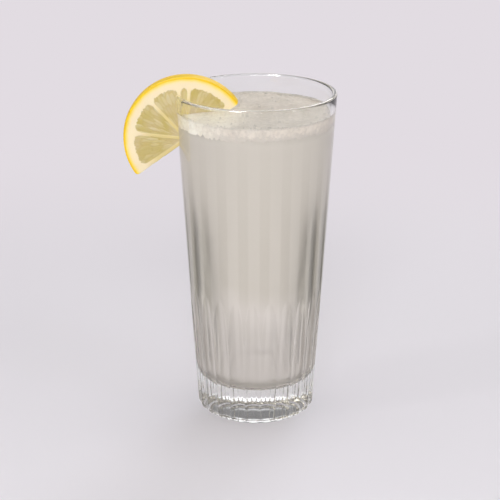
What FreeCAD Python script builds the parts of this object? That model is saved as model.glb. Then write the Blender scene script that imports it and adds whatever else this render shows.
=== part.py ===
"""A tall pressed-glass tumbler of gin fizz, with half a lemon wheel hung on its rim.

Millimetres, +Z up. The origin is on the table, at the centre of the tumbler's foot. The lemon hangs on the -X side
of the rim, with the wheel's face towards -Y.
"""

import FreeCAD, Part
import math
import os

from FreeCAD import Vector

# Tumbler: a plain cone outside and inside, on a thick floor.
tumbler_height = 156.0
rim_radius = 37.5
foot_cone_radius = 27.35  # the outer cone carried down to the table
rim_wall = 2.2
floor_wall = 3.4  # the wall at the level of the cavity's floor, before the flutes are cut
floor_thickness = 17.0
floor_corner_round = 8.0
rim_round = 1.0
heel_width = 4.8
heel_height = 3.0
heel_round = 4.0
punt_radius = 18.5
punt_depth = 1.6

# Flutes: upright grooves round the lower wall, each running out in a pointed top.
flute_count = 24
flute_phase = 12.0  # degrees from +X to the first groove
flute_tool_radius = 9.0
flute_depth = 1.2
flute_full_height = 33.0
flute_run_out = 30.0

# Drink: cloudy liquid with a band of foam on it.
fill_below_rim = 9.0
foam_thickness = 4.8

# Lemon: half a wheel, slit from its cut edge so that it sits astride the rim.
lemon_radius = 29.4
lemon_crown = 0.3  # how far the peel bulges between the two cut faces
slice_thickness = 7.0
slice_side_step = -2.0  # the slice's middle, along Y from the tumbler's axis
half_cut_angle = 36.1  # degrees from +X to the flat edge
half_cut_beyond_centre = 0.6
slit_from_centre = 4.3  # sideways, from the wheel's centre to the middle of the wall
slit_clearance = 0.1
slit_point = 4.0  # the cut closes to nothing this far above the rim
peel_above_slit = 4.3
lower_tip_round = 1.6
upper_tip_round = 0.7
rind_thickness = 4.9
segment_depth = 0.35
segment_corner_round = 3.2
core_radius = 3.0
membrane_thickness = 0.9
membranes_from_flat_edge = [2.0, 50.5, 62.6, 97.0, 137.7, 178.0]  # degrees, from the upper tip round the wheel

AXIS = Vector(0, 0, 1)
ORIGIN = Vector(0, 0, 0)
MARGIN = 5.0  # how far tools run past what they cut

wall_slope = (rim_radius - foot_cone_radius) / tumbler_height


def outer_radius(z):
    """Radius of the outer cone at height z."""
    return foot_cone_radius + wall_slope * z


cavity_floor_radius = outer_radius(floor_thickness) - floor_wall
cavity_slope = (rim_radius - rim_wall - cavity_floor_radius) / (tumbler_height - floor_thickness)


def cavity_radius(z):
    """Radius of the inner cone at height z."""
    return cavity_floor_radius + cavity_slope * (z - floor_thickness)


def rounded_outline(corners):
    """Closed wire in the XZ plane through corners (x, z, rounding), each rounded corner as a tangent arc."""
    edges = []
    start = previous_end = None
    for i, (x, z, rounding) in enumerate(corners):
        corner = Vector(x, 0, z)
        if rounding:
            before = Vector(corners[i - 1][0], 0, corners[i - 1][1]) - corner
            following = corners[(i + 1) % len(corners)]
            after = Vector(following[0], 0, following[1]) - corner
            half_angle = before.getAngle(after) / 2
            before.normalize()
            after.normalize()
            reach = rounding / math.tan(half_angle)
            inward = (before + after).normalize()
            middle = corner + inward * (rounding / math.sin(half_angle) - rounding)
            arc = Part.Arc(corner + before * reach, middle, corner + after * reach)
            first, last = arc.StartPoint, arc.EndPoint
            rounded = [arc.toShape()]
        else:
            first = last = corner
            rounded = []
        if previous_end is not None:
            edges.append(Part.LineSegment(previous_end, first).toShape())
        else:
            start = first
        edges += rounded
        previous_end = last
    edges.append(Part.LineSegment(previous_end, start).toShape())
    return Part.Wire(edges)


def turned(corners):
    """Solid of revolution about Z of an outline in the XZ plane."""
    return Part.Face(rounded_outline(corners)).revolve(ORIGIN, AXIS, 360)


def slab(bottom, top):
    """A disc wider than the tumbler between two heights."""
    return Part.makeCylinder(rim_radius + MARGIN, top - bottom, Vector(0, 0, bottom))


def cavity():
    """The tumbler's inside, from its floor to well above the rim."""
    above = tumbler_height + MARGIN
    return turned(
        [
            (0, floor_thickness, 0),
            (cavity_floor_radius, floor_thickness, floor_corner_round),
            (cavity_radius(above), above, 0),
            (0, above, 0),
        ]
    )


def flute_tools():
    """One cutter for each groove: a straight rod along the wall, then an arc that lifts it out at the top."""
    tilt = math.atan(wall_slope)
    along = Vector(math.sin(tilt), 0, math.cos(tilt))
    outward = Vector(math.cos(tilt), 0, -math.sin(tilt))
    foot = Vector(foot_cone_radius, 0, 0) + outward * (flute_tool_radius - flute_depth)
    turn_point = foot + along * flute_full_height
    lift_radius = (flute_run_out**2 + flute_depth**2) / (2 * flute_depth)
    lift_angle = math.degrees(math.asin(flute_run_out / lift_radius)) * 1.15
    lift_centre = turn_point + outward * (lift_radius - flute_tool_radius)
    rod = Part.makeCylinder(flute_tool_radius, flute_full_height + MARGIN, foot - along * MARGIN, along)
    ring = Part.Wire(Part.Circle(turn_point, along, flute_tool_radius).toShape())
    lift = Part.Face(ring).revolve(lift_centre, Vector(0, 1, 0), lift_angle)
    tools = []
    for i in range(flute_count):
        angle = flute_phase + 360.0 * i / flute_count
        for piece in (rod, lift):
            copy = piece.copy()
            copy.rotate(ORIGIN, AXIS, angle)
            tools.append(copy)
    return tools


def tumbler():
    """Pressed glass: a cone on a thick fluted foot, with a shallow punt under it."""
    body = turned(
        [
            (0, 0, 0),
            (foot_cone_radius - heel_width, 0, heel_round),
            (outer_radius(heel_height), heel_height, heel_round),
            (rim_radius, tumbler_height, rim_round),
            (cavity_radius(tumbler_height), tumbler_height, rim_round),
            (cavity_floor_radius, floor_thickness, floor_corner_round),
            (0, floor_thickness, 0),
        ]
    )
    punt_sphere = (punt_radius**2 + punt_depth**2) / (2 * punt_depth)
    punt = Part.makeSphere(punt_sphere, Vector(0, 0, punt_depth - punt_sphere))
    return body.cut([punt] + flute_tools())


wheel_centre = Vector(
    -(rim_radius - rim_wall / 2) + slit_from_centre,
    slice_side_step,
    tumbler_height + slit_point + peel_above_slit - lemon_radius,
)
TOWARDS_BACK = Vector(0, 1, 0)


def on_wheel(radius, degrees):
    """Point on the slice's front face, from the wheel's centre."""
    angle = math.radians(degrees)
    return wheel_centre + Vector(radius * math.cos(angle), -slice_thickness / 2, radius * math.sin(angle))


def half_wheel():
    """The slice before it is slit: a disc with a crowned edge, cut across a little beyond its centre."""
    half = slice_thickness / 2
    edge = lemon_radius - lemon_crown
    rim = Part.Arc(Vector(edge, -half, 0), Vector(lemon_radius, 0, 0), Vector(edge, half, 0)).toShape()
    sides = Part.makePolygon([Vector(edge, half, 0), Vector(0, half, 0), Vector(0, -half, 0), Vector(edge, -half, 0)])
    disc = Part.Face(Part.Wire([rim] + sides.Edges)).revolve(ORIGIN, TOWARDS_BACK, 360)
    keep = Part.makeBox(
        2 * lemon_radius + 2 * MARGIN,
        slice_thickness + 2 * MARGIN,
        lemon_radius + half_cut_beyond_centre + MARGIN,
        Vector(-lemon_radius - MARGIN, -half - MARGIN, -half_cut_beyond_centre),
    )
    blank = disc.common(keep)
    tips = {1: upper_tip_round, -1: lower_tip_round}
    for side, rounding in tips.items():
        corner = [
            edge
            for edge in blank.Edges
            if abs(edge.CenterOfMass.z + half_cut_beyond_centre) < 0.01
            and edge.CenterOfMass.x * side > 0.9 * lemon_radius
        ]
        blank = blank.makeFillet(rounding, corner)
    blank.rotate(ORIGIN, TOWARDS_BACK, -half_cut_angle)
    blank.translate(wheel_centre)
    return blank


def segment(first, last):
    """A wedge of flesh between two membranes, on the front face, pointing into the slice."""
    half_membrane = membrane_thickness / 2
    middle = (first + last) / 2
    meeting_radius = half_membrane / math.sin(math.radians(last - middle))
    outer = lemon_radius - rind_thickness
    inner = max(core_radius, 1.2 * meeting_radius)
    outer_step = math.degrees(math.asin(half_membrane / outer))
    inner_step = math.degrees(math.asin(half_membrane / inner))
    start, end = on_wheel(outer, first + outer_step), on_wheel(outer, last - outer_step)
    tip = [on_wheel(inner, last - inner_step), on_wheel(inner, first + inner_step)]
    rind_side = Part.Arc(start, on_wheel(outer, middle), end).toShape()
    sides = Part.makePolygon([end] + tip + [start])
    wedge = Part.Face(Part.Wire([rind_side] + sides.Edges)).extrude(TOWARDS_BACK * segment_depth)
    corners = [
        edge
        for edge in wedge.Edges
        if len(edge.Vertexes) == 2
        and abs(edge.Vertexes[0].Point.y - edge.Vertexes[1].Point.y) > 0.9 * segment_depth
        and edge.CenterOfMass.distanceToPoint(wheel_centre) > 0.9 * outer
    ]
    return wedge.makeFillet(min(segment_corner_round, 0.25 * start.distanceToPoint(end)), corners)


def segments():
    """The wedges of flesh, on both faces of the slice."""
    angles = [half_cut_angle + angle for angle in membranes_from_flat_edge]
    front = [segment(first, last) for first, last in zip(angles, angles[1:])]
    back = [wedge.translated(TOWARDS_BACK * (slice_thickness - segment_depth)) for wedge in front]
    return front + back


def slit():
    """The space that the tumbler's wall takes in the slice, closing to a point above the rim."""
    bottom = floor_thickness
    return turned(
        [
            (cavity_radius(bottom) - slit_clearance, bottom, 0),
            (outer_radius(bottom) + slit_clearance, bottom, 0),
            (rim_radius + slit_clearance, tumbler_height - rim_round, 0),
            (rim_radius - rim_wall / 2, tumbler_height + slit_point, 0),
            (cavity_radius(tumbler_height) - slit_clearance, tumbler_height - rim_round, 0),
        ]
    )


def lemon_slice(blank):
    """The half wheel with its slit and with the flesh a little below the rind and membranes."""
    return blank.cut([slit()] + segments())


def contents(blank):
    """Liquid and foam, filling the cavity to its level, each cut round the slice."""
    fill_level = tumbler_height - fill_below_rim
    foam_bottom = fill_level - foam_thickness
    inside = cavity()
    liquid = inside.common(slab(0, foam_bottom)).cut(blank)
    foam = inside.common(slab(foam_bottom, fill_level)).cut(blank)
    return liquid, foam


def main():
    os.makedirs("parts", exist_ok=True)
    blank = half_wheel()
    liquid, foam = contents(blank)
    nodes = {
        "tumbler": tumbler(),
        "drink": liquid,
        "foam": foam,
        "lemon_slice": lemon_slice(blank),
    }
    for name, shape in nodes.items():
        box = shape.BoundBox
        print(
            f"{name}: {len(shape.Solids)} solid, valid {shape.isValid()}, {shape.Volume / 1000:.2f} cm3,"
            f" z {box.ZMin:.2f} to {box.ZMax:.2f}, x {box.XMin:.2f} to {box.XMax:.2f}"
        )
        shape.exportStep(f"parts/{name}.step")


main()
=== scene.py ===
"""A tall fluted tumbler of gin fizz with half a lemon wheel on its rim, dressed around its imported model."""

import math
import random

import bpy
import numpy as np
from mathutils import Matrix, Vector, kdtree, noise


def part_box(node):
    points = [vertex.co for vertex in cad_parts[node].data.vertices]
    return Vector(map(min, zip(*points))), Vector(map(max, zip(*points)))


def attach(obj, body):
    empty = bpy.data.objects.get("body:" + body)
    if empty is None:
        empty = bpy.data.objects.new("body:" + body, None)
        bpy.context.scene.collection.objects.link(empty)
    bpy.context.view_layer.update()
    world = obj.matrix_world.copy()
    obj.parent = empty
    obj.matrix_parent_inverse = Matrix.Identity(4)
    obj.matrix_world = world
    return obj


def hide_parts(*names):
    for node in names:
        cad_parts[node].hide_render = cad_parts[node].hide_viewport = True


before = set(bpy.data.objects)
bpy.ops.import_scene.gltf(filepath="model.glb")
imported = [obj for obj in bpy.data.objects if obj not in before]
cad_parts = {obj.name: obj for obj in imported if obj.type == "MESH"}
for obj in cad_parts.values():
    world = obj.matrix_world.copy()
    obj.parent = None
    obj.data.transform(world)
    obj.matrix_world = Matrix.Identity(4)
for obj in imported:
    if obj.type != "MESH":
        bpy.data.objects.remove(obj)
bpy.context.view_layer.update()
mm = 0.001


# ---------------------------------------------------------------- tumbler
# The tumbler is one piece of clear soda-lime glass, pressed in a mould with a thick floor. Upright flutes go
# round its lower wall, fade out above and run out in a scoop at the heel. Fire polishing has left every edge
# soft and the rim a round bead.

tumbler_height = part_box("tumbler")[1].z
rim_radius = 37.5 * mm
foot_cone_radius = 27.35 * mm
rim_wall = 2.2 * mm
rim_round = 1.0 * mm
floor_wall = 3.4 * mm
floor_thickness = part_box("drink")[0].z
floor_corner_round = 8 * mm
heel_width, heel_height, heel_round = 4.8 * mm, 3 * mm, 4 * mm
heel_top = 2 * heel_height
punt_radius, punt_depth = 18.5 * mm, 1.6 * mm
punt_steps = 8

flute_count = 24
flute_phase = math.radians(12)
flute_pitch = math.tau / flute_count
flute_tool_radius = 9 * mm
flute_depth = 1.2 * mm
flute_full_height = 33 * mm
flute_run_out = 30 * mm
flute_top = flute_full_height + flute_run_out
flutes_middle = 0.6 * flute_top
flute_fade = 5 * mm
flutes_end = flute_top + flute_fade  # the wall is plain from here up
flute_edge_softness = 0.05 * mm
scoop_height = 3.6 * mm  # below this a groove runs out again towards the foot
columns_per_flute = 24
groove_columns = 0.75  # the share of a flute's columns that lie inside its groove
least_share, widest_share = 0.012, 0.485  # how far a groove may reach from its middle, in flute pitches

wall_slope = (rim_radius - foot_cone_radius) / tumbler_height
cavity_floor_radius = foot_cone_radius + wall_slope * floor_thickness - floor_wall
cavity_slope = (rim_radius - rim_wall - cavity_floor_radius) / (tumbler_height - floor_thickness)


def outer_radius(z):
    """Radius of the outer wall at height z, before the flutes."""
    return foot_cone_radius + wall_slope * z


def cavity_radius(z):
    """Radius of the inner wall at height z."""
    return cavity_floor_radius + cavity_slope * (z - floor_thickness)


def rounded(corners, arc_steps=8):
    """Points along an open outline. A corner is radius, height, rounding and steps in the run after it."""
    spots = [Vector(corner[:2]) for corner in corners]
    ends = []
    for i, (spot, corner) in enumerate(zip(spots, corners)):
        rounding = corner[2]
        if not rounding:
            ends.append([spot])
            continue
        before = (spots[i - 1] - spot).normalized()
        after = (spots[i + 1] - spot).normalized()
        half_angle = before.angle(after) / 2
        middle = spot + (before + after).normalized() * (rounding / math.sin(half_angle))
        reach = rounding / math.tan(half_angle)
        start, end = spot + before * reach - middle, spot + after * reach - middle
        sweep = start.angle_signed(end)
        turns = [Matrix.Rotation(-sweep * step / arc_steps, 2) for step in range(arc_steps + 1)]
        ends.append([middle + turn @ start for turn in turns])
    points = []
    for i, corner in enumerate(corners):
        points += ends[i]
        if i + 1 < len(corners):
            steps = corner[3]
            points += [ends[i][-1].lerp(ends[i + 1][0], step / steps) for step in range(1, steps)]
    return points


def spun(name, outline, steps):
    """A closed round piece: an outline that starts and ends on the upright axis, spun all the way round."""
    bpy.ops.object.select_all(action="DESELECT")
    bpy.ops.mesh.primitive_circle_add(vertices=len(outline), radius=rim_radius)
    piece = bpy.context.object
    piece.name = piece.data.name = name
    for vertex, (radius, height) in zip(piece.data.vertices, outline):
        vertex.co = (radius, 0, height)
    bpy.ops.object.mode_set(mode="EDIT")
    bpy.ops.mesh.select_all(action="SELECT")
    bpy.ops.mesh.spin(steps=steps, angle=math.tau, center=(0, 0, 0), axis=(0, 0, 1))
    bpy.ops.mesh.select_all(action="SELECT")
    bpy.ops.mesh.remove_doubles(threshold=0.001 * mm)
    bpy.ops.mesh.delete_loose()
    bpy.ops.mesh.select_all(action="SELECT")
    bpy.ops.mesh.normals_make_consistent(inside=False)
    bpy.ops.object.mode_set(mode="OBJECT")
    bpy.ops.object.shade_smooth()
    return piece


def points_of(piece):
    """The piece's points as rows of x, y and z."""
    points = np.empty(3 * len(piece.data.vertices))
    piece.data.vertices.foreach_get("co", points)
    return points.reshape(-1, 3)


def place_points(piece, points):
    """Puts the piece's points where the rows of points say."""
    piece.data.vertices.foreach_set("co", points.ravel())
    piece.data.update()


def smooth_min(a, b, softness):
    """The smaller of a and b, with the crease between them rounded over."""
    blend = np.clip(0.5 + 0.5 * (b - a) / softness, 0, 1)
    return b + (a - b) * blend - softness * blend * (1 - blend)


def press_flutes(piece):
    """Slides the columns of points onto the grooves' edges, and sinks those inside each groove."""
    x, y, z = points_of(piece).T
    radius, angle = np.hypot(x, y), np.arctan2(y, x)
    wall = outer_radius(z)
    lift_radius = (flute_run_out**2 + flute_depth**2) / (2 * flute_depth)
    run_out = np.clip(z - flute_full_height, 0, None)
    depth = flute_depth - run_out**2 / (2 * lift_radius)
    axis_radius = wall + flute_tool_radius - depth
    cosine = (wall**2 + axis_radius**2 - flute_tool_radius**2) / (2 * wall * axis_radius)
    half_width = np.arccos(np.clip(cosine, -1, 1))
    share = np.clip(half_width / flute_pitch, least_share, widest_share)
    above = np.clip((z - flute_top) / flute_fade, 0, 1)
    share = np.where(z > flute_top, least_share + (groove_columns / 2 - least_share) * above, share)

    turns = (angle - flute_phase) / flute_pitch
    nearest = np.round(turns)
    column = turns - nearest
    inside = np.abs(column) <= groove_columns / 2 + 1e-6
    outer_share = (np.abs(column) - groove_columns / 2) / (0.5 - groove_columns / 2)
    slid = np.where(
        inside,
        column / (groove_columns / 2) * share,
        np.sign(column) * (share + outer_share * (0.5 - share)),
    )
    new_angle = (nearest + slid) * flute_pitch + flute_phase

    offset = np.clip(slid, -0.5, 0.5) * flute_pitch
    groove = axis_radius * np.cos(offset) - np.sqrt(
        np.clip(flute_tool_radius**2 - (axis_radius * np.sin(offset)) ** 2, 0, None)
    )
    groove = np.where(depth > 0, groove, wall + mm)
    pressed = smooth_min(radius, groove, flute_edge_softness)
    scoop = np.clip(z / scoop_height, 0, 1)
    scooped = radius - np.clip(wall - groove, 0, None) * scoop**2 * (3 - 2 * scoop)
    pressed = np.where(z < heel_top, scooped, pressed)

    margin = 1 * mm
    in_wall = (radius > cavity_floor_radius + margin) | (z < floor_thickness / 2)
    past_punt = (radius > punt_radius + margin) | (z > floor_thickness)
    outside = (z < flutes_end) & in_wall & past_punt & (radius > cavity_radius(z) + margin / 2)
    radius, angle = np.where(outside, pressed, radius), np.where(outside, new_angle, angle)
    place_points(piece, np.column_stack([radius * np.cos(angle), radius * np.sin(angle), z]))


punt_sphere = (punt_radius**2 + punt_depth**2) / (2 * punt_depth)
punt_radii = [punt_radius * step / punt_steps for step in range(punt_steps)]
punt = [Vector((r, math.sqrt(punt_sphere**2 - r**2) - punt_sphere + punt_depth)) for r in punt_radii]
tumbler_outline = punt + rounded(
    [
        (punt_radius, 0, 0, 2),
        (foot_cone_radius - heel_width, 0, heel_round, 3),
        (outer_radius(heel_height), heel_height, heel_round, 24),
        (outer_radius(flutes_middle), flutes_middle, 0, 42),
        (outer_radius(flutes_end), flutes_end, 0, 16),
        (rim_radius, tumbler_height, rim_round, 1),
        (cavity_radius(tumbler_height), tumbler_height, rim_round, 30),
        (cavity_floor_radius, floor_thickness, floor_corner_round, 8),
        (0, floor_thickness, 0, 0),
    ]
)
tumbler = spun("pressed_tumbler", tumbler_outline, flute_count * columns_per_flute)
tumbler.rotation_euler.z = flute_phase
bpy.ops.object.transform_apply(location=False, rotation=True, scale=False)
press_flutes(tumbler)


class Value:
    """A number or colour at a material's socket. Python's operators on numbers add Math nodes."""

    def __init__(self, finish, socket):
        self.finish, self.socket = finish, socket

    def maths(self, operation, *others):
        return self.finish.node("ShaderNodeMath", {"operation": operation}, dict(enumerate((self, *others))))

    def __add__(self, other):
        return self.maths("ADD", other)

    def __sub__(self, other):
        return self.maths("SUBTRACT", other)

    def __mul__(self, other):
        return self.maths("MULTIPLY", other)

    def __truediv__(self, other):
        return self.maths("DIVIDE", other)

    def __rsub__(self, other):
        return self.maths("MULTIPLY_ADD", -1.0, other)

    __radd__ = __add__
    __rmul__ = __mul__

    def __abs__(self):
        return self.maths("ABSOLUTE")

    def rise(self, low, high):
        """0 below low and 1 above high, with a smooth step between."""
        inputs = {"Value": self, "From Min": low, "From Max": high}
        return self.finish.node("ShaderNodeMapRange", {"interpolation_type": "SMOOTHSTEP"}, inputs)


class Finish:
    """The node tree of a material, or of the room's light, filled one node at a time."""

    def __init__(self, name, room=None):
        self.material = room or bpy.data.materials.new(name)
        self.material.use_nodes = True
        self.tree = self.material.node_tree
        self.tree.nodes.clear()
        self.end = self.tree.nodes.new("ShaderNodeOutputWorld" if room else "ShaderNodeOutputMaterial")

    def node(self, kind, settings=None, inputs=None, output=0):
        """A node of that kind. Settings come first, then each input takes a value or a node's output."""
        node = self.tree.nodes.new(kind)
        for name, setting in (settings or {}).items():
            setattr(node, name, setting)
        for name, value in (inputs or {}).items():
            if isinstance(value, Value):
                self.tree.links.new(value.socket, node.inputs[name])
            else:
                node.inputs[name].default_value = value
        return Value(self, node.outputs[output])

    def mixed(self, share, first, second):
        """A colour that goes from first to second as share goes from 0 to 1."""
        return self.node("ShaderNodeMix", {"data_type": "RGBA"}, {0: share, 6: first, 7: second}, output=2)

    def either(self, share, first, second):
        """A surface that goes from first to second as share goes from 0 to 1."""
        return self.node("ShaderNodeMixShader", None, {0: share, 1: first, 2: second})

    def ray(self, kind):
        """1 for rays of that kind, such as Shadow, and 0 for all others."""
        return self.node("ShaderNodeLightPath", output=f"Is {kind} Ray")

    def clouds(self, place, scale, detail):
        """Soft uneven patches from 0 to 1, about scale of them to a metre."""
        return self.node("ShaderNodeTexNoise", None, {"Vector": place, "Scale": scale, "Detail": detail})

    def cells(self, place, scale, settings=None):
        """0 at the middle of each cell and more towards its walls, about scale of them to a metre."""
        return self.node("ShaderNodeTexVoronoi", settings, {"Vector": place, "Scale": scale})

    def on(self, *pieces, surface):
        """Ends the tree in surface and gives the material to pieces."""
        self.tree.links.new(surface.socket, self.end.inputs["Surface"])
        for piece in pieces:
            piece.data.materials.clear()
            piece.data.materials.append(self.material)


def clear_glass(finish, tint, index):
    """Clear glass that bends sight, and that lamp light and scattered light go through unbent."""
    glass = finish.node("ShaderNodeBsdfGlass", None, {"Color": tint, "Roughness": 0.0, "IOR": index})
    open_way = finish.node("ShaderNodeBsdfTransparent", None, {"Color": tint})
    return finish.either(finish.ray("Shadow").maths("MAXIMUM", finish.ray("Diffuse")), glass, open_way)


def srgb(red, green, blue):
    """A colour as it looks on a screen, 0 to 255, made ready for a material's socket."""
    shares = (red / 255, green / 255, blue / 255)
    return (*(c / 12.92 if c < 0.04045 else ((c + 0.055) / 1.055) ** 2.4 for c in shares), 1)


glass_tint, glass_index = (0.985, 0.99, 0.985, 1), 1.5
glass = Finish("clear_glass")
glass.on(tumbler, surface=clear_glass(glass, glass_tint, glass_index))
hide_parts("tumbler")
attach(tumbler, "root")


# ---------------------------------------------------------------- drink
# Gin, lemon juice, sugar and soda, shaken: a cloudy pale grey liquid, clearest behind the flutes and over the
# floor. It wets the glass all the way round, so the piece reaches a little into the wall and no gap shows.

into_wall = 0.15 * mm
foam_low, foam_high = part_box("foam")
foam_bottom, fill_level = foam_low.z, foam_high.z
drink_bottom, drink_top = floor_thickness - into_wall, foam_bottom + 1 * mm  # its top is inside the foam
outline_start = 2 * mm

drink_outline = [Vector((0, drink_bottom))] + rounded(
    [
        (outline_start, drink_bottom, 0, 6),
        (cavity_floor_radius + into_wall, drink_bottom, floor_corner_round, 24),
        (cavity_radius(foam_bottom) + into_wall, drink_top, 0, 8),
        (0, drink_top, 0, 0),
    ]
)
drink = spun("cloudy_drink", drink_outline, 192)

drink_index = 0.89  # the drink against the glass round it
drink_blur = 0.28
most_cloudy = 0.95
clearing_by_flutes, clearing_by_floor = 0.48, 0.35
clear_floor_depth = 9 * mm
foam_veil_low, foam_veil_high = foam_bottom - 54 * mm, foam_bottom - 22 * mm

cloudy = Finish("cloudy_drink")
place = cloudy.node("ShaderNodeTexCoord", output="Object")
level = cloudy.node("ShaderNodeSeparateXYZ", None, {0: place}, output="Z")
# Painted light: the drink's colour is made paler low down, round the flutes, and greys towards the foam; the
# pale lower colour stands in for light coming in through the flutes, which is not rendered.
painted_light_wobble = cloudy.clouds(place, 45.0, 2.0) - 0.5
painted_light_fade = (level + painted_light_wobble * 20 * mm).rise(flutes_middle, 1.15 * flute_top)
cloud_colour = cloudy.mixed(painted_light_fade, srgb(240, 232, 228), srgb(205, 198, 188))
cloud_inputs = {"Base Color": cloud_colour, "Roughness": 1.0, "Specular IOR Level": 0.0}
cloud = cloudy.node("ShaderNodeBsdfPrincipled", None, cloud_inputs)

bent_inputs = {"Color": srgb(226, 223, 216), "Roughness": drink_blur, "IOR": drink_index}
bent = cloudy.node("ShaderNodeBsdfGlass", None, bent_inputs)
unbent = cloudy.node("ShaderNodeBsdfTransparent", None, {"Color": srgb(235, 230, 222)})
see_through = cloudy.either(cloudy.ray("Shadow"), bent, unbent)

by_flutes = 1 - level.rise(flutes_middle, 1.1 * flute_top)
by_floor = 1 - level.rise(floor_thickness, floor_thickness + clear_floor_depth)
under_foam = level.rise(foam_veil_low, foam_veil_high)
edge_on = cloudy.node("ShaderNodeLayerWeight", None, {"Blend": 0.5}, output="Facing")
thin_edge = edge_on.rise(0.05, 0.2) * (1 - under_foam) * (1 - by_flutes * 0.65)
cloudiness = most_cloudy - by_flutes * clearing_by_flutes - by_floor * clearing_by_floor
cloudiness = cloudiness * (1 - thin_edge * 0.7)
going_in = 1 - cloudy.node("ShaderNodeNewGeometry", output="Backfacing")
cloudy.on(drink, surface=cloudy.either(cloudiness * going_in, see_through, cloud))
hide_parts("drink")
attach(drink, "root")


# ---------------------------------------------------------------- foam
# A thin head of fine bubbles. It floats on the drink, climbs the glass a little and hangs down in an uneven,
# ragged edge. It is creamiest beside the lemon.

foam_reach = 0.06 * mm
drip_room = 3 * mm
foam_floor = foam_bottom - drip_room
hair = 0.01 * mm  # a point this near a face lies on it
foam_swells = ((0.35, 9), (0.18, 3.5), (0.14, 1.2))  # height and width of the swells on top, in mm
foam_rags = ((1.1, 6), (0.9, 21), (0.9, 55))  # depth of the lower edge's rags, in mm, and how close they are
foam_settling, foam_climb = 0.35, 0.9  # how far the top sinks in the middle and climbs at the glass, in mm
climb_from = 0.93  # the climb starts at this share of the way out to the glass
edge_taper, most_taper = 0.08, 0.3 * mm
cell_relief, cell_width = 0.02 * mm, 0.9 * mm

foam_outline = [Vector((0, foam_floor))] + rounded(
    [
        (outline_start, foam_floor, 0, 6),
        (cavity_radius(foam_floor), foam_floor, 0, 28),
        (cavity_radius(fill_level), fill_level, 0, 68),
        (0, fill_level, 0, 0),
    ]
)
foam = spun("foam_head", foam_outline, 480)


def ruffle(piece):
    """Gives the foam its uneven top, the climb up the wall and the ragged lower edge."""
    points = points_of(piece)
    x, y, z = points.T
    r, angle = np.hypot(x, y), np.arctan2(y, x)
    on_top = z > fill_level - hair
    for i, (px, py, pz) in enumerate(points):
        if on_top[i]:
            spot = Vector((px, py, 0)) / mm
            swell = sum(height * noise.noise(spot / width) for height, width in foam_swells)
            climb = max(0, r[i] / cavity_radius(fill_level) - climb_from) / (1 - climb_from)
            points[i, 2] += (swell - foam_settling + foam_climb * climb**2) * mm
        if r[i] > 0.9 * cavity_radius(pz):
            around = Vector((math.cos(angle[i]), math.sin(angle[i]), 0))
            edge = foam_bottom + sum(depth * noise.noise(around * close) for depth, close in foam_rags) * mm
            bulge = cell_relief * noise.noise(Vector((px, py, pz)) / cell_width)
            grip = max(-most_taper, min(foam_reach, edge_taper * (pz - edge))) + bulge
            wide = (cavity_radius(points[i, 2]) + into_wall + grip) / r[i]
            points[i, 0], points[i, 1] = px * wide, py * wide
    place_points(piece, points)


ruffle(foam)

slice_low, slice_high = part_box("lemon_slice")
slice_middle, half_slice = (slice_low.y + slice_high.y) / 2, (slice_high.y - slice_low.y) / 2
beside_lemon = Vector((-cavity_radius(fill_level), slice_low.y, fill_level))

froth = Finish("foam")
place = froth.node("ShaderNodeTexCoord", output="Object")
level = froth.node("ShaderNodeSeparateXYZ", None, {0: place}, output="Z")
patches = froth.clouds(place, 110.0, 4.0)
specks = froth.clouds(place, 620.0, 2.0)
fine_cells = froth.cells(place, 1300.0)
pits_with_painted_shade = froth.cells(place, 520.0)

mottled = (patches * 0.5 + specks * 0.5).rise(0.34, 0.66)
side_colour = froth.mixed(mottled, srgb(208, 199, 188), srgb(228, 219, 207))
hem = 1 - (level + (specks - 0.5) * 5 * mm).rise(foam_bottom - 0.3 * mm, foam_bottom + 2.6 * mm)
side_colour = froth.mixed(hem, side_colour, srgb(208, 200, 190))
top_colour = froth.mixed(mottled, srgb(200, 191, 178), srgb(218, 209, 197))
on_top = level.rise(fill_level - 0.8 * mm, fill_level - 0.2 * mm)
froth_colour = froth.mixed(on_top, side_colour, top_colour)
between = {0: place, 1: beside_lemon}
from_lemon = froth.node("ShaderNodeVectorMath", {"operation": "DISTANCE"}, between, output="Value")
cream = froth.mixed(mottled, srgb(240, 231, 214), srgb(255, 249, 234))
froth_colour = froth.mixed(1 - from_lemon.rise(16 * mm, 38 * mm), froth_colour, cream)
# Painted shade: the foam is darkened in the middle of each open cell, where the relief below sinks a pit.
froth_colour = froth.mixed((1 - pits_with_painted_shade.rise(0.0, 0.28)) * 0.35, froth_colour, srgb(176, 168, 158))

height = fine_cells.rise(0.1, 0.6) * 0.5 + pits_with_painted_shade.rise(0.1, 0.5)
relief = froth.node("ShaderNodeBump", None, {"Strength": 0.5, "Distance": 0.15 * mm, "Height": height})
froth_inputs = {
    "Base Color": froth_colour,
    "Roughness": 0.5,
    "Specular IOR Level": 0.06,
    "Subsurface Weight": 0.3,
    "Subsurface Radius": (1.0, 0.9, 0.8),
    "Subsurface Scale": 1.5 * mm,
    "Normal": relief,
}
froth.on(foam, surface=froth.node("ShaderNodeBsdfPrincipled", None, froth_inputs))
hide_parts("foam")
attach(foam, "root")


# ---------------------------------------------------------------- bubbles
# Single bubbles that stand on the foam, most of them small ones in a row along the glass. Each is a thin wet
# film, blown by the soda.

bubble_tries, tries_along_wall = 120, 80
bubble_rise = 0.6  # a bubble's centre lies this share of its radius above the foam
foam_at_wall, foam_inside = 0.45 * mm, -0.35 * mm  # where the foam's top lies, from the fill level
slice_end = -10 * mm  # the slice stands on the foam from the glass to here, so no bubble is there

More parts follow.
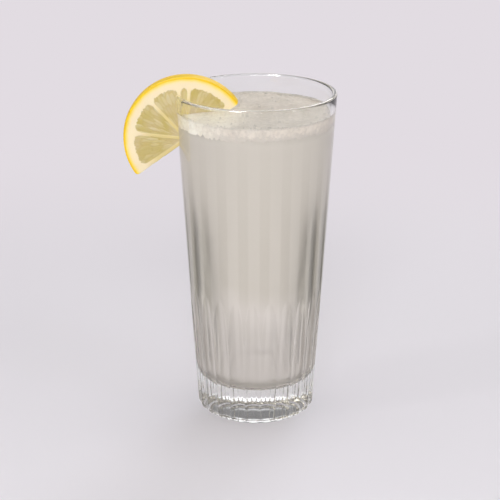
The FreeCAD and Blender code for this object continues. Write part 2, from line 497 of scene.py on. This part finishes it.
bubble_chance = random.Random(21)
bpy.ops.object.select_all(action="DESELECT")
bpy.ops.mesh.primitive_ico_sphere_add(subdivisions=2, radius=1, location=(0, 0, 0))
first_bubble = bpy.context.object
loose_bubbles = []
for i in range(bubble_tries):
    along_wall = i < tries_along_wall
    if along_wall:
        bubble_size = bubble_chance.uniform(0.2, 0.4) * mm
    else:
        bubble_size = bubble_chance.triangular(0.2, 1.0, 0.3) * mm
    turn = bubble_chance.uniform(0, math.tau)
    reach = cavity_radius(fill_level) - bubble_size
    reach *= bubble_chance.uniform(0.985, 1.0) if along_wall else math.sqrt(bubble_chance.uniform(0, 0.9))
    lift = (foam_at_wall if along_wall else foam_inside) + bubble_rise * bubble_size
    spot = Vector((reach * math.cos(turn), reach * math.sin(turn), fill_level + lift))
    if spot.x < slice_end and abs(spot.y - slice_middle) < half_slice + bubble_size:
        continue
    bubble = first_bubble.copy()
    bubble.data = first_bubble.data.copy()
    bpy.context.collection.objects.link(bubble)
    bubble.data.transform(Matrix.Translation(spot) @ Matrix.Scale(bubble_size, 4))
    loose_bubbles.append(bubble)
bpy.data.objects.remove(first_bubble)
bpy.ops.object.select_all(action="DESELECT")
for bubble in loose_bubbles:
    bubble.select_set(True)
bpy.context.view_layer.objects.active = loose_bubbles[0]
bpy.ops.object.join()
bubbles = bpy.context.object
bubbles.name = bubbles.data.name = "surface_bubbles"
bpy.ops.object.shade_smooth()

film = Finish("bubble_film")
film_edge = film.node("ShaderNodeLayerWeight", None, {"Blend": 0.35}, output="Fresnel")
film_clear = film.node("ShaderNodeBsdfTransparent", None, {"Color": (0.99, 0.99, 0.99, 1)})
film_inputs = {"Base Color": srgb(226, 219, 210), "Roughness": 0.1}
film_white = film.node("ShaderNodeBsdfPrincipled", None, film_inputs)
from_outside = 1 - film.node("ShaderNodeNewGeometry", output="Backfacing")
film.on(bubbles, surface=film.either((film_edge * 0.5 + 0.08) * from_outside, film_clear, film_white))
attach(bubbles, "root")


# ---------------------------------------------------------------- lemon
# Half a wheel cut across a lemon: thin oily zest, a band of pith and five wedges of juicy flesh between thin
# walls. It is slit from the cut edge and pushed down over the rim, and the flesh closes round the glass.

lemon_radius = 29.4 * mm
lemon_crown = 0.3 * mm
zest_edge_round = 0.35 * mm
rind_thickness = 4.9 * mm
half_cut_angle = math.radians(36.1)
half_cut_beyond_centre = 0.6 * mm
lower_tip_round, upper_tip_round = 1.6 * mm, 0.7 * mm
walls_from_flat_edge = [math.radians(degrees) for degrees in (2.0, 50.5, 62.6, 97.0, 137.7, 178.0)]
wall_half_width = 0.35 * mm
flesh_radius = lemon_radius - rind_thickness
wedge_corner_round, wedge_slope = 3.2 * mm, 0.7 * mm
flesh_sink = 0.3 * mm
juice_sac_width, juice_sac_length = 1.6 * mm, 6.5 * mm
juice_sac_bulge = 0.3 * mm
juice_sac_overlap = 1.3
juice_sac_edge = 0.16  # width of the dip between two sacs, in sac widths
juice_sacs_at = 0.7 * flesh_radius  # the sacs have their full width this far from the core
wheel_centre = Vector((slice_low.x + lemon_radius, slice_middle, slice_high.z - lemon_radius))

wheel_outline = rounded(
    [
        (0, -half_slice, 0, 84),
        (flesh_radius, -half_slice, 0, 14),
        (lemon_radius - lemon_crown, -half_slice, zest_edge_round, 5),
        (lemon_radius, 0, 0, 5),
        (lemon_radius - lemon_crown, half_slice, zest_edge_round, 14),
        (flesh_radius, half_slice, 0, 84),
        (0, half_slice, 0, 0),
    ],
    arc_steps=3,
)
lemon = spun("lemon_half_wheel", wheel_outline, 480)

bpy.ops.object.mode_set(mode="EDIT")
bpy.ops.mesh.select_all(action="SELECT")
bpy.ops.mesh.bisect(plane_co=(0, -half_cut_beyond_centre, 0), plane_no=(0, 1, 0), clear_inner=True)
bpy.ops.mesh.select_all(action="SELECT")
bpy.ops.mesh.fill_holes(sides=0)
bpy.ops.mesh.select_all(action="SELECT")
bpy.ops.mesh.normals_make_consistent(inside=False)
bpy.ops.object.mode_set(mode="OBJECT")


def wall_distance(x, y, r):
    """How far a point on the wheel lies from the nearest wall between wedges, and from the pith."""
    beside = [np.abs(x * math.sin(angle) - y * math.cos(angle)) for angle in walls_from_flat_edge]
    return np.min(beside, axis=0) - wall_half_width, flesh_radius - r


def swell_juice_sacs(piece):
    """Sinks the flesh a little below its walls and swells each juice sac, a drop that points at the core."""
    chance = random.Random(7)
    points = points_of(piece)
    x, y, z = points.T
    r, angle = np.hypot(x, y), np.arctan2(y, x)
    beside, below_pith = wall_distance(x, y, r)
    ragged = 0.22 * mm * np.sin(angle * 61 + 2 * np.sin(angle * 23)) + 0.1 * mm * np.sin(angle * 143)
    flesh = np.clip(smooth_min(beside, below_pith + ragged, wedge_corner_round) / wedge_slope, 0, 1)
    flesh = flesh**2 * (3 - 2 * flesh)
    face = np.abs(z) > half_slice - hair
    sac_rows = int(flesh_radius / juice_sac_length * juice_sac_overlap) + 1
    sac_count = int(math.pi * juice_sacs_at / juice_sac_width)
    spread = juice_sacs_at / juice_sac_width
    tone, edge = np.zeros(len(points)), np.zeros(len(points))
    for side in (-1, 1):
        spots = [
            (
                (column + chance.uniform(-0.35, 0.35) + 0.5 * (row % 2)) * math.pi / sac_count,
                (row + chance.uniform(-0.3, 0.3)) * juice_sac_length / juice_sac_overlap,
            )
            for row in range(sac_rows + 1)
            for column in range(-3, sac_count + 3)
        ]
        tones = [chance.random() for _ in spots]
        tree = kdtree.KDTree(len(spots))
        for i, (turn, out) in enumerate(spots):
            tree.insert((turn * spread, out / juice_sac_length, 0), i)
        tree.balance()
        for i in np.nonzero(face & (z * side > 0))[0]:
            here = (angle[i] * spread, r[i] / juice_sac_length, 0)
            (_, nearest, near), (_, _, next_near) = tree.find_n(here, 2)
            tone[i] = tones[nearest]
            edge[i] = math.exp(-(((next_near - near) / juice_sac_edge) ** 2))
    swell = juice_sac_bulge * (1 - edge) * (0.45 + 0.75 * tone) * np.clip(r / flesh_radius, 0.25, 1)
    sink = np.where(face, flesh * (flesh_sink - np.minimum(swell, flesh_sink)), 0)
    points[:, 2] -= np.sign(z) * sink
    place_points(piece, points)
    for name, values in (("sac_tone", tone), ("sac_edge", edge * flesh), ("pith", 1 - flesh)):
        layer = piece.data.attributes.new(name, "FLOAT", "POINT")
        layer.data.foreach_set("value", values)


def round_tips(piece):
    """Draws the two ends of the peel in, so that neither is a sharp corner."""
    points = points_of(piece)
    x, y, z = points.T
    r = np.hypot(x, y)
    for side, rounding in ((1, upper_tip_round), (-1, lower_tip_round)):
        height = y + half_cut_beyond_centre
        low = (x * side > 0) & (height < rounding)
        pull = rounding - np.sqrt(np.clip(rounding**2 - (rounding - height) ** 2, 0, None))
        near_peel = np.clip((r - lemon_radius + 3 * rounding) / (3 * rounding), 0, 1)
        points[:, 0] -= np.where(low, side * pull * near_peel, 0)
    place_points(piece, points)


swell_juice_sacs(lemon)
round_tips(lemon)
cos_cut, sin_cut = math.cos(half_cut_angle), math.sin(half_cut_angle)
stand_up = Matrix(((cos_cut, -sin_cut, 0), (0, 0, -1), (sin_cut, cos_cut, 0))).to_4x4()
lemon.matrix_world = Matrix.Translation(wheel_centre) @ stand_up
bpy.ops.object.transform_apply(location=True, rotation=True, scale=True)

citrus = Finish("lemon")
place = citrus.node("ShaderNodeTexCoord", output="Object")
from_centre = citrus.node("ShaderNodeVectorMath", {"operation": "SUBTRACT"}, {0: place, 1: wheel_centre})
flattened = citrus.node("ShaderNodeVectorMath", {"operation": "MULTIPLY"}, {0: from_centre, 1: (1, 0, 1)})
out = citrus.node("ShaderNodeVectorMath", {"operation": "LENGTH"}, {0: flattened}, output="Value")
uneven = citrus.clouds(place, 260.0, 3.0) - 0.5
patches = citrus.clouds(place, 90.0, 1.0)
grain = citrus.clouds(place, 1400.0, 2.0) - 0.5
pith, sac_tone, sac_edge = (
    citrus.node("ShaderNodeAttribute", {"attribute_name": name}, output="Fac")
    for name in ("pith", "sac_tone", "sac_edge")
)

flesh_colour = citrus.mixed(patches.rise(0.35, 0.65), srgb(196, 178, 104), srgb(206, 188, 142))
flesh_colour = citrus.mixed(sac_tone.rise(0.3, 1) * 0.5, flesh_colour, srgb(222, 209, 166))
flesh_colour = citrus.mixed(sac_edge * 0.45, flesh_colour, srgb(196, 174, 104))
towards_rind = out.rise(0.6 * flesh_radius, flesh_radius)
wall_colour = citrus.mixed(towards_rind, srgb(222, 204, 142), srgb(244, 227, 190))
yellow = (out + uneven * 0.8 * mm).rise(flesh_radius + 0.8 * mm, lemon_radius - 0.9 * mm)
rind_colour = citrus.mixed(yellow * yellow, wall_colour, srgb(248, 219, 84))
zest = (out + uneven * 0.3 * mm).rise(lemon_radius - 1.5 * mm, lemon_radius - 0.7 * mm)
rind_colour = citrus.mixed(zest, rind_colour, srgb(244, 201, 4))

oil_glands = citrus.cells(place, 850.0, {"feature": "SMOOTH_F1"})
height = oil_glands.rise(0.0, 0.5) * zest + grain * 0.5
relief = citrus.node("ShaderNodeBump", None, {"Strength": 0.5, "Distance": 0.12 * mm, "Height": height})
citrus_inputs = {
    "Base Color": citrus.mixed(pith.rise(0.1, 0.9), flesh_colour, rind_colour),
    "Roughness": 0.55 - (1 - pith) * 0.33,  # the flesh is wet and the rind isn't
    "Specular IOR Level": 0.3,
    "Subsurface Weight": 0.2,
    "Subsurface Radius": (1.0, 0.8, 0.4),
    "Subsurface Scale": 1.5 * mm,
    "Normal": relief,
}
citrus.on(lemon, surface=citrus.node("ShaderNodeBsdfPrincipled", None, citrus_inputs))
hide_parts("lemon_slice")
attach(lemon, "root")


# ---------------------------------------------------------------- table, light and camera
# A plain pale table in a plain pale room, lit by six soft boxes. Pale and dark cards stand round the glass
# under a dark ceiling with beams. Only glass and gloss see them, and mirror or bend them into bright and dark
# lines.

card_count, beam_count = 11, 33
first_card = math.radians(54)
white_card_strength = 1.3
room_for_matter, room_for_sight = 0.38, 0.76  # the room's strength as a light, and as it is seen

bpy.ops.object.select_all(action="DESELECT")
bpy.ops.mesh.primitive_plane_add(size=8)
table = bpy.context.object
table.name = table.data.name = "table"


def by_way_of_glass(finish):
    """1 for rays that come by way of glass or gloss."""
    return finish.ray("Glossy").maths("MAXIMUM", finish.ray("Transmission"))


tabletop = Finish("pale_table")
place = tabletop.node("ShaderNodeTexCoord", output="Object")
distance = tabletop.node("ShaderNodeVectorMath", {"operation": "LENGTH"}, {0: place}, output="Value")
in_glass = by_way_of_glass(tabletop)
seen = in_glass.maths("MAXIMUM", tabletop.ray("Camera"))
lit = tabletop.node("ShaderNodeBsdfDiffuse", None, {"Color": srgb(232, 229, 233)})
even = tabletop.node("ShaderNodeEmission", None, {"Color": srgb(226, 220, 226)})
# Painted light: seen through the glass, the table right under it is partly an even glow in place of its
# shadow, a painted pool of light.
painted_light_under_glass = (1 - distance.rise(24 * mm, 36 * mm)) * in_glass * 0.3
far_off = distance.rise(0.12, 0.5) * seen
pale = tabletop.either(far_off + painted_light_under_glass, lit, even)

along = tabletop.node("ShaderNodeSeparateXYZ", None, {0: place}, output="X")
aside = Value(tabletop, along.socket.node.outputs["Y"])
turn = aside.maths("ARCTAN2", along) - first_card
spokes = (turn * card_count).maths("COSINE").rise(-0.2, 0.4)
card_ring = distance.rise(0.06, 0.09) * (1 - distance.rise(0.2, 0.45)) * in_glass
behind = (aside / distance).rise(0.8, 0.92)
beside = abs(along / distance).rise(0.3, 0.6)
dark = tabletop.node("ShaderNodeEmission", None, {"Color": srgb(76, 77, 75)})
white_inputs = {"Color": (1, 1, 1, 1), "Strength": white_card_strength}
white = tabletop.node("ShaderNodeEmission", None, white_inputs)
with_white = tabletop.either((1 - spokes) * card_ring * beside * 0.25, pale, white)
tabletop.on(table, surface=tabletop.either(spokes * card_ring * (1 - behind), with_white, dark))

middle = Vector((0, 0, 0.08))
soft_boxes = (
    ("key", (-0.05, -1.0, 0.6), (0.4, 0.4), 5.7),
    ("left_strip", (-0.75, -0.35, 0.3), (0.07, 0.6), 1.0),
    ("right_strip", (0.7, -0.5, 0.3), (0.07, 0.6), 1.0),
    ("back", (0.3, 0.9, 0.8), (0.5, 0.5), 4.5),
    ("top", (0.1, 0.1, 1.2), (0.4, 0.4), 1.4),
    ("glint", (-0.35, -0.45, 0.95), (0.3, 0.3), 30),
)
for name, stand, (width, height), power in soft_boxes:
    lamp = bpy.data.lights.new(name, "AREA")
    lamp.shape, lamp.size, lamp.size_y, lamp.energy = "RECTANGLE", width, height, power
    holder = bpy.data.objects.new(name, lamp)
    bpy.context.collection.objects.link(holder)
    holder.location = stand
    holder.rotation_euler = (middle - Vector(stand)).to_track_quat("-Z", "Y").to_euler()
    holder.visible_transmission = False
    holder.visible_diffuse = name != "glint"  # this one only puts a shine on wet and glossy places

room = bpy.data.worlds.new("pale_room")
bpy.context.scene.world = room
room_light = Finish("pale_room", room)
way = room_light.node("ShaderNodeTexCoord", output="Generated")
along = room_light.node("ShaderNodeSeparateXYZ", None, {0: way}, output="X")
aside, upward = (Value(room_light, along.socket.node.outputs[name]) for name in ("Y", "Z"))
turn = aside.maths("ARCTAN2", along) - first_card
cards = (turn * card_count).maths("COSINE").rise(-0.2, 0.5)
cards = cards * (1 - upward.rise(0.3, 0.4)) * (1 - aside.rise(0.75, 0.88))
beams = (turn * beam_count).maths("COSINE").rise(-0.5, 0.2)
ceiling = upward.rise(0.25, 0.4) * (0.6 + beams * 0.4)
bright_band = upward.rise(-0.02, 0.06) * (1 - upward.rise(0.2, 0.3))
for_glass = (0.95 + bright_band * 0.4) * (1 - ceiling * 0.93) * (1 - cards * 0.85)
in_glass = by_way_of_glass(room_light)
strength = room_light.node("ShaderNodeMix", None, {0: in_glass, 2: room_for_matter, 3: for_glass})
seen = room_light.ray("Camera")
strength = room_light.node("ShaderNodeMix", None, {0: seen, 2: strength, 3: room_for_sight})
room_inputs = {"Color": (0.99, 0.97, 1, 1), "Strength": strength}
room_light.on(surface=room_light.node("ShaderNodeBackground", None, room_inputs))
bpy.context.scene.cycles.caustics_reflective = False
bpy.context.scene.cycles.caustics_refractive = False

camera_data = bpy.data.cameras.new("camera")
camera = bpy.data.objects.new("camera", camera_data)
bpy.context.collection.objects.link(camera)
bpy.context.scene.camera = camera
camera_data.lens, camera_data.sensor_width = 144.7, 36
view_down = math.radians(18.17)
view_distance = 0.95
aim = Vector((-2.8, 0, 79.1)) * mm
camera.location = aim + view_distance * Vector((0, -math.cos(view_down), math.sin(view_down)))
camera.rotation_euler = (math.pi / 2 - view_down, 0, 0)
camera_data.clip_start = 0.01
bpy.context.scene.view_settings.view_transform = "Standard"
